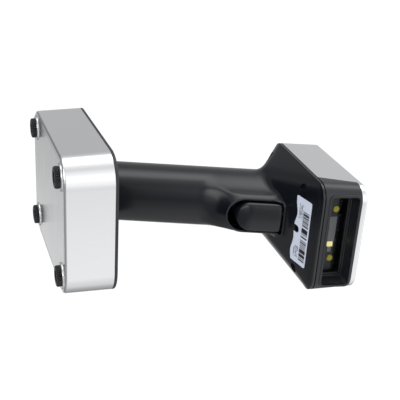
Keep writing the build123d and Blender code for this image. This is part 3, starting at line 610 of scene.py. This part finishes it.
def label_section(x):
    """Closed section across the label at x: over its printed face and back under it."""
    past_corner = max(abs(x) - (LABEL_HALF_WIDTH - 1.0), 0.0)
    tuck = 1.0 - math.sqrt(max(1.0 - past_corner ** 2, 0.0))
    front, rear = LABEL_FRONT + tuck, label_rear(x) - tuck
    spots = [hopper_skin(x, front + (rear - front) * share / 8, 0.0) for share in range(9)]
    across = [Vector((x, front + (rear - front) * share / 8, spot.z)) for share, spot in enumerate(spots)]
    return [spot - UPWARD * 0.16 for spot in across] + [spot + UPWARD * 0.05 for spot in across[::-1]]


stations = [-LABEL_HALF_WIDTH, -20.0, -19.6, -19.2] + [-18.6 + 1.05 * step for step in range(16)]
stations += [-2.6, -2.21, -2.19, -2.0, -1.6, -1.0, 0.0]
stations += [-x for x in stations[::-1][1:]]
label_rows = [label_section(x) for x in stations]
ends = [row[:9] + row[:9][::-1] for row in (label_rows[0], label_rows[-1])]
label_bm = bmesh.new()
wrap(label_bm, [ends[0]] + label_rows + [ends[1]])
label_uv = label_bm.loops.layers.uv.new("print_mm")
for face in label_bm.faces:
    for loop in face.loops:
        loop[label_uv].uv = loop.vert.co.xy

# bluish-white satin film with dense black print
FILM_WHITE = "#E6EEFF"
label_film, label_shader = start_finish("polyester_label_printed", FILM_WHITE, 0.4)
add_grain(label_film, label_shader, 0.5, 0.004, 0.2)
print_place = add_node(label_film, "ShaderNodeUVMap", {"uv_map": "print_mm"})
print_axes = add_node(label_film, "ShaderNodeSeparateXYZ", slot0=print_place.outputs[0])
along, across = print_axes.outputs[0], print_axes.outputs[1]


def calculate(material, operation, first, second=0.0, third=0.0):
    """One step of arithmetic in a material."""
    return add_node(material, "ShaderNodeMath", {"operation": operation},
                    slot0=first, slot1=second, slot2=third).outputs[0]


def printed_field(middle_x, half_x, middle_y, half_y):
    """1 inside a rectangle of the label, else 0."""
    return calculate(label_film, "MULTIPLY",
                     calculate(label_film, "COMPARE", along, middle_x, half_x),
                     calculate(label_film, "COMPARE", across, middle_y, half_y))


def random_marks(value, share):
    """1 or 0 at random for each whole number of a value."""
    chance = add_node(label_film, "ShaderNodeTexWhiteNoise", {"noise_dimensions": "1D"},
                      W=calculate(label_film, "FLOOR", value)).outputs[0]
    return calculate(label_film, "LESS_THAN", chance, share)


def times(first, second):
    """Product of two values or masks of the label."""
    return calculate(label_film, "MULTIPLY", first, second)


BARS_PER_MM, DASHES_PER_MM, LINES_PER_MM = 2.0, 1.9, 0.9
bars = times(random_marks(times(along, BARS_PER_MM), 0.56), printed_field(1.8, 15.6, -28.6, 2.8))
line_height = times(across, LINES_PER_MM)
line_number = calculate(label_film, "FLOOR", line_height)
dash_place = calculate(label_film, "MULTIPLY_ADD", line_number, 57.0, times(along, DASHES_PER_MM))
line_band = calculate(label_film, "LESS_THAN", calculate(label_film, "FRACT", line_height), 0.5)
dash_field = calculate(label_film, "MAXIMUM", printed_field(-12.0, 4.6, -23.6, 1.7),
                       printed_field(13.4, 3.4, -22.6, 2.2))
dashes = times(times(line_band, dash_field), random_marks(dash_place, 0.75))
ink = add_node(label_film, "ShaderNodeMix", {"data_type": "RGBA"},
               slot0=calculate(label_film, "MAXIMUM", bars, dashes),
               slot6=tint(FILM_WHITE), slot7=tint("#0C0D11"))
label_film.node_tree.links.new(ink.outputs[2], label_shader.inputs["Base Color"])
label_piece = finish_mesh(label_bm, "label_film", head_frame, label_film, "scanner_body", 30, 1e-3)
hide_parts("rating_label")

# ---- Window surround ----
# Black ABS of the bezel: a rounded border round the opening, walls that close in towards
# the glass and two narrow ledges in front of it.


def opening_outline(depth_share, inset, sink):
    """Outline of the window between its opening (0) and its glass (1), in the head's frame."""
    half = 27.4 - 2.8 * depth_share - inset
    low, high = 2.8 + 1.0 * depth_share + inset, 19.6 - 1.4 * depth_share - inset
    corner = max(2.4 - inset - depth_share, 0.5)
    points = []
    for turn, (sign_x, height) in enumerate(((1, low), (1, high), (-1, high), (-1, low))):
        centre_x = sign_x * (half - corner)
        centre_z = height + corner if height == low else height - corner
        for part in range(7):
            angle = math.radians(-90 + 90 * turn + 15 * part)
            points.append((centre_x + corner * math.cos(angle), centre_z + corner * math.sin(angle)))
    outline = []
    for x, z in points:
        face = -40.3 - 1.74 * z / 23.9
        outline.append(Vector((x, face + (-31.6 - face) * depth_share + sink, z)))
    return outline


surround_rows = [opening_outline(0, -0.9, 0.9), opening_outline(0, -0.9, 0.0)]
for angle in (15, 40, 65, 90):
    turn = math.radians(angle)
    surround_rows.append(opening_outline(0, -0.55 - 0.35 * math.cos(turn), -0.3 * math.sin(turn)))
for angle in (90, 70, 50, 30, 10):
    turn = math.radians(angle)
    surround_rows.append(opening_outline(0, 0.45 - math.cos(turn), -0.3 + 1.2 * (1 - math.sin(turn))))
# depth and inset of the two ledges, from the border down to the glass
LEDGES = [(0.5, 0.2), (0.76, 0.2), (0.77, 0.75), (0.87, 0.75), (0.88, 1.3), (0.985, 1.3), (0.985, -0.9)]
surround_rows += [opening_outline(depth_share, inset, 0) for depth_share, inset in LEDGES]
surround_rows.append(opening_outline(0, -0.9, 0.9))
# deep black satin, a little smoother than the shell, so its borders show as thin bright lines
bezel_abs, bezel_shader = start_finish("abs_bezel_satin", "#1D1F24", 0.34)
bezel_grain = add_grain(bezel_abs, bezel_shader, 0.4, 0.006, 0.25)
vary(bezel_abs, bezel_shader, "Roughness", bezel_grain, 0.28, 0.38)
dress(bezel_abs, "front_bezel")
surround_bm = bmesh.new()
wrap(surround_bm, surround_rows)
surround = finish_mesh(surround_bm, "window_surround", head_frame, bezel_abs, "scanner_body", 28)

# ---- Screws of the head ----
# Five M3 socket screws of black-oxide steel, put in from below, deep in their recesses.

# nearly black metal with an oily sheen
screw_black, screw_shader = start_finish("steel_black_oxide", "#1E1F21", 0.35, 1.0)
add_grain(screw_black, screw_shader, 0.3, 0.004, 0.3)
dress(screw_black, "head_screws")

# ---- Window and lens ----
# Glass with a hard coating: the window, bedded on its rubber gasket behind the surround, and
# the lens of the camera module. Both are seen mainly by their mirror images.

# almost clear, with a dark cast and a sharp reflection
clear_glass, glass_shader = start_finish("glass_hard_coated", "#0B0C0E", 0.04)
glass_shader.inputs["Alpha"].default_value = 0.15
add_grain(clear_glass, glass_shader, 5.0, 0.001, 0.1)
dress(clear_glass, "window_glass", "scan_lens")
dress(rubber, "window_gasket")

# ---- Lamps behind the window ----
# A grey lamp board, screwed to the steel bracket of the camera module, carries two moulded
# yellow lenses, a frosted light bar and the phosphor cap of a white lamp that glows faintly.

# dull grey solder mask
lamp_mask, lamp_shader = start_finish("lamp_board_grey", "#3A3B3E", 0.45)
add_grain(lamp_mask, lamp_shader, 0.5, 0.01, 0.3)
dress(lamp_mask, "led_board")
dress(zinc, "led_screws", "engine_bracket")

# clear bright yellow with a gloss
amber, amber_shader = start_finish("polycarbonate_amber", "#E6DF34", 0.3)
add_grain(amber, amber_shader, 0.5, 0.004, 0.2)
dress(amber, "aiming_lenses")

# milky grey, without sharp reflections
frosted, frosted_shader = start_finish("silicone_frosted", "#9A9CA0", 0.5)
add_grain(frosted, frosted_shader, 0.4, 0.004, 0.3)
dress(frosted, "light_bar", "sensor_chip")

# pale yellow with a weak glow of its own
phosphor, phosphor_shader = start_finish("phosphor_lamp", "#FFF3B0", 0.5)
phosphor_shader.inputs["Emission Color"].default_value = tint("#FFF0A0")
phosphor_shader.inputs["Emission Strength"].default_value = 0.8
add_grain(phosphor, phosphor_shader, 0.3, 0.004, 0.3)
dress(phosphor, "lamp_led")

# ---- Switch plunger, wiring and cell ----
# The acetal plunger pressed by the trigger, the sleeve of the wires up the handle and the
# lithium cell between its bulkheads. None shows while the scanner is closed.

# brick red, slightly waxy
red_pom, red_shader = start_finish("acetal_red", "#B8402A", 0.45)
add_grain(red_pom, red_shader, 0.4, 0.004, 0.3)
dress(red_pom, "switch_plunger")

# dark red soft PVC
sleeve, sleeve_shader = start_finish("pvc_wire_sleeve", "#8E1B18", 0.4)
add_grain(sleeve, sleeve_shader, 0.6, 0.01, 0.3)
dress(sleeve, "wiring_loom")

# blue shrink film with small puckers
wrap_film, wrap_shader = start_finish("pet_cell_wrap", "#3563A8", 0.3)
add_grain(wrap_film, wrap_shader, 0.8, 0.01, 0.3)
dress(wrap_film, "battery_cell")

# ---- Studio ----
# A white room seen by the camera as plain white. What the parts reflect is softer: broad panels
# of different brightness all round, one low fill lamp and a pale floor.

scene = bpy.context.scene
scene.view_settings.view_transform = "Standard"

world = bpy.data.worlds.new("studio_white")
scene.world = world
world.use_nodes = True
world.node_tree.nodes.clear()


def fade(value, low, high, start=0.0, end=1.0):
    """Value moved from the span low to high onto the span start to end, and held there."""
    return add_node(world, "ShaderNodeMapRange", slot0=value, slot1=low, slot2=high, slot3=start,
                    slot4=end).outputs[0]


def mixed(share, first, second):
    """Colour that goes from the first to the second as share goes from 0 to 1."""
    return add_node(world, "ShaderNodeMix", {"data_type": "RGBA"}, slot0=share, slot6=first,
                    slot7=second).outputs[2]


direction = add_node(world, "ShaderNodeTexCoord").outputs["Generated"]
toward = add_node(world, "ShaderNodeSeparateXYZ", slot0=direction).outputs
bearing_angle = add_node(world, "ShaderNodeMath", {"operation": "ARCTAN2"}, slot0=toward[1], slot1=toward[0])
round_share = fade(bearing_angle.outputs[0], -math.pi, math.pi)

BRIGHTEST = 3.0


def panels(stops):
    """Brightness round the studio: (bearing in degrees from -X, towards -Y, radiance) stops."""
    ramp = add_node(world, "ShaderNodeValToRGB", slot0=round_share)
    ramp.color_ramp.interpolation = "EASE"
    while len(ramp.color_ramp.elements) > 1:
        ramp.color_ramp.elements.remove(ramp.color_ramp.elements[-1])
    for number, (bearing, radiance) in enumerate(stops):
        stop = ramp.color_ramp.elements.new(bearing / 360) if number else ramp.color_ramp.elements[0]
        stop.position = bearing / 360
        stop.color = (radiance / BRIGHTEST, radiance / BRIGHTEST, radiance / BRIGHTEST, 1)
    return ramp.outputs[0]


# the bright panels stand at both sides of -X; darker stretches between them draw the shapes
upper = panels([(0, 2.5), (5, 1.1), (28, 0.78), (44, 1.05), (62, 1.4), (82, 1.15), (110, 0.8), (119, 1.02),
                (160, 0.8), (190, 0.45), (215, 0.25), (228, 0.7), (242, 1.1), (252, 0.75), (264, 0.55),
                (300, 0.5), (322, 0.6), (335, 1.6), (345, 2.9)])
lower = panels([(0, 2.0), (10, 0.6), (30, 0.42), (42, 0.55), (60, 0.4), (85, 0.25), (108, 0.5), (140, 0.7),
                (180, 0.4), (220, 0.22), (300, 0.22), (330, 0.7), (345, 1.6)])
below = panels([(0, 0.6), (15, 1.8), (32, 3.0), (46, 2.4), (66, 0.8), (100, 0.35), (180, 0.3), (340, 0.3)])
sides = mixed(fade(toward[2], -0.28, -0.1), lower, upper)
whole_room = mixed(fade(toward[2], -0.45, -0.62), sides, below)
studio = add_node(world, "ShaderNodeBackground", slot0=whole_room,
                  slot1=fade(toward[2], 0.2, 0.5, BRIGHTEST, 3.45))
backdrop = add_node(world, "ShaderNodeBackground", slot0=(1, 1, 1, 1), slot1=1.05)
seen = add_node(world, "ShaderNodeLightPath").outputs["Is Camera Ray"]
choose = add_node(world, "ShaderNodeMixShader", slot0=seen, slot1=studio.outputs[0],
                  slot2=backdrop.outputs[0])
add_node(world, "ShaderNodeOutputWorld", slot0=choose.outputs[0])

# a soft lamp, low in front, that lifts the shadows without showing in the reflections
FILL_SIZE = 0.7
FILL_RADIANCE = 0.8
fill_lamp = bpy.data.lights.new("fill_below", "AREA")
fill_lamp.shape = "RECTANGLE"
fill_lamp.size = FILL_SIZE
fill_lamp.size_y = FILL_SIZE
fill_lamp.energy = FILL_RADIANCE * math.pi * FILL_SIZE * FILL_SIZE
fill = bpy.data.objects.new("fill_below", fill_lamp)
scene.collection.objects.link(fill)
fill.location = (-0.25, -0.7, -0.55)
fill_aim = Vector((0, -0.06, 0.12)) - Vector(fill.location)
fill.rotation_euler = fill_aim.to_track_quat("-Z", "Y").to_euler()
fill.visible_camera = False
fill.visible_glossy = False

floor_bm = bmesh.new()
bmesh.ops.create_grid(floor_bm, x_segments=1, y_segments=1, size=6.0)
floor_mesh = bpy.data.meshes.new("studio_floor")
floor_bm.to_mesh(floor_mesh)
floor_bm.free()
floor = bpy.data.objects.new("studio_floor", floor_mesh)
scene.collection.objects.link(floor)
# matt off-white, seen from above only: from below it lets the white room through
pale, pale_shader = start_finish("studio_floor_pale", "#F2F2F2", 0.8)
path = add_node(pale, "ShaderNodeLightPath")
side = add_node(pale, "ShaderNodeNewGeometry")
facing = add_node(pale, "ShaderNodeMath", {"operation": "SUBTRACT"}, slot0=1.0,
                  slot1=side.outputs["Backfacing"])
shown = add_node(pale, "ShaderNodeMath", {"operation": "MULTIPLY"}, slot0=facing.outputs[0],
                 slot1=path.outputs["Is Camera Ray"])
pale.node_tree.links.new(shown.outputs[0], pale_shader.inputs["Alpha"])
floor_mesh.materials.append(pale)

# ---- Camera ----
# It looks up at the scanner from below its front left side, rolled so that the head comes out
# on the right; the lens is a 66 mm one on a 36 mm sensor.

camera_data = bpy.data.cameras.new("camera")
camera = bpy.data.objects.new("camera", camera_data)
scene.collection.objects.link(camera)
scene.camera = camera
camera.location = (-178.32 * mm, -411.60 * mm, -57.57 * mm)
camera.rotation_euler = [math.radians(angle) for angle in (166.349, -70.0965, -100.0506)]
camera_data.sensor_width = 36.0
camera_data.lens = 66.41
camera_data.shift_x = -0.0006
camera_data.shift_y = -0.0025
camera_data.clip_start = 0.01
camera_data.clip_end = 50.0
